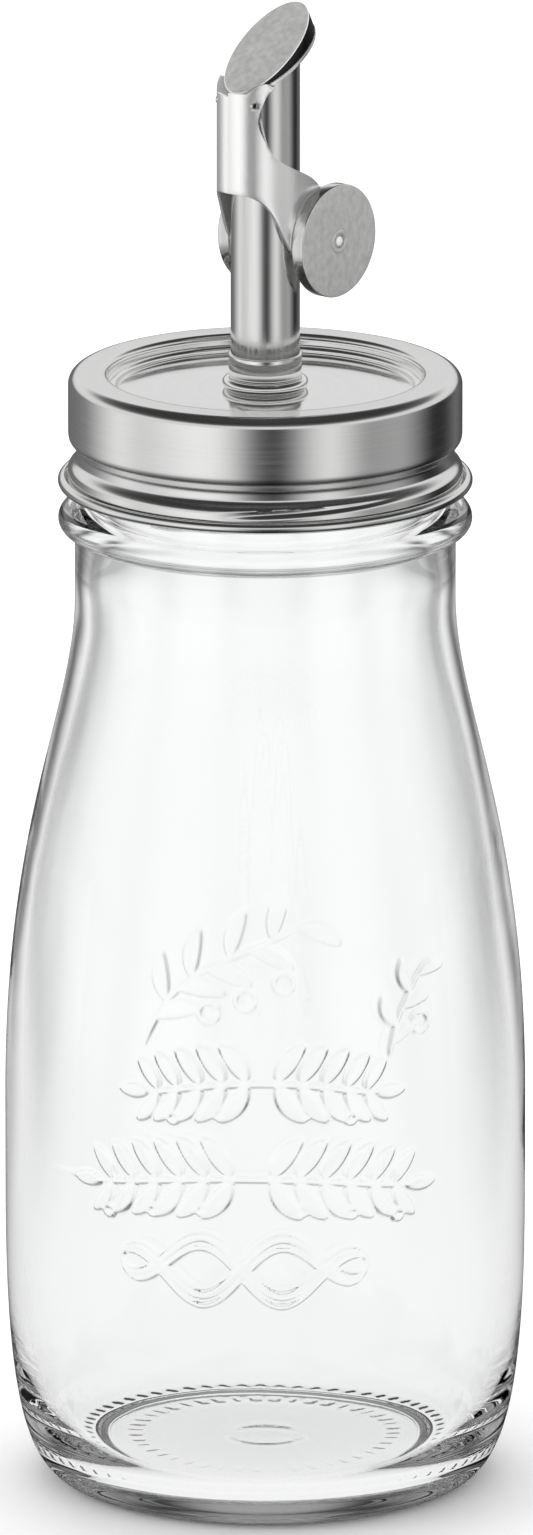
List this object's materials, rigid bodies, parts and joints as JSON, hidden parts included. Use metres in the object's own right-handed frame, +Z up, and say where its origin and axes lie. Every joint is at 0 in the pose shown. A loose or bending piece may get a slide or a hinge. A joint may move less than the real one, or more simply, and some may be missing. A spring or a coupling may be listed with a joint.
{
  "type": "oil bottle",
  "caption": "Glass table bottle for oil with a screw band, a lid disc and a slim spout closed by a counterweighted flap that swings open when the bottle is tipped.",
  "frame": {"origin": "centre of the base, on the table plane", "axes": "+Z up along the bottle's axis, +X the direction in which the spout pours, flap pin along Y on the -X side"},
  "size_m": [0.0766, 0.0764, 0.2201],
  "materials": {
    "clear_glass": "clear pressed glass, polished, with raised decoration",
    "brushed_steel": "satin rolled stainless steel",
    "polished_steel": "mirror polished stainless steel",
    "tube_steel": "drawn stainless tube, bright along its length",
    "matte_steel": "tumbled matte steel",
    "seal_rubber": "food-grade pale seal"
  },
  "bodies": {
    "bottle": {"glass_bottle": "clear_glass"},
    "lid": {"lid_disc": "polished_steel", "lid_gasket": "seal_rubber", "spout_tube": "tube_steel", "spout_collar": "polished_steel", "spout_washer": "seal_rubber", "spout_nut": "tube_steel", "hinge_knuckle": "tube_steel"},
    "band": {"screw_band": "brushed_steel"},
    "flap": {"flap_saddle": "polished_steel", "flap_plate": "matte_steel", "hinge_pin": "tube_steel", "counterweight_left": "matte_steel", "counterweight_right": "matte_steel", "weight_rivet_left": "polished_steel", "weight_rivet_right": "polished_steel"}
  },
  "joints": [
    {"name": "lid_lift", "type": "slide", "parent": "bottle", "child": "lid", "axis": [0, 0, 1], "range_m": [0, 0.02175]},
    {"name": "band_turn", "type": "hinge", "parent": "lid", "child": "band", "pos_m": [0, 0, 0.158], "axis": [0, 0, 1], "range_deg": [0, 1080.5]},
    {"name": "flap_hinge", "type": "hinge", "parent": "lid", "child": "flap", "pos_m": [-0.0065, 0, 0.20755], "axis": [0, -1, 0], "range_deg": [0, 7.5]}
  ],
  "couplings": [
    {"joint": "band_turn", "follows": "lid_lift", "rad_per_m": 866.65}
  ]
}
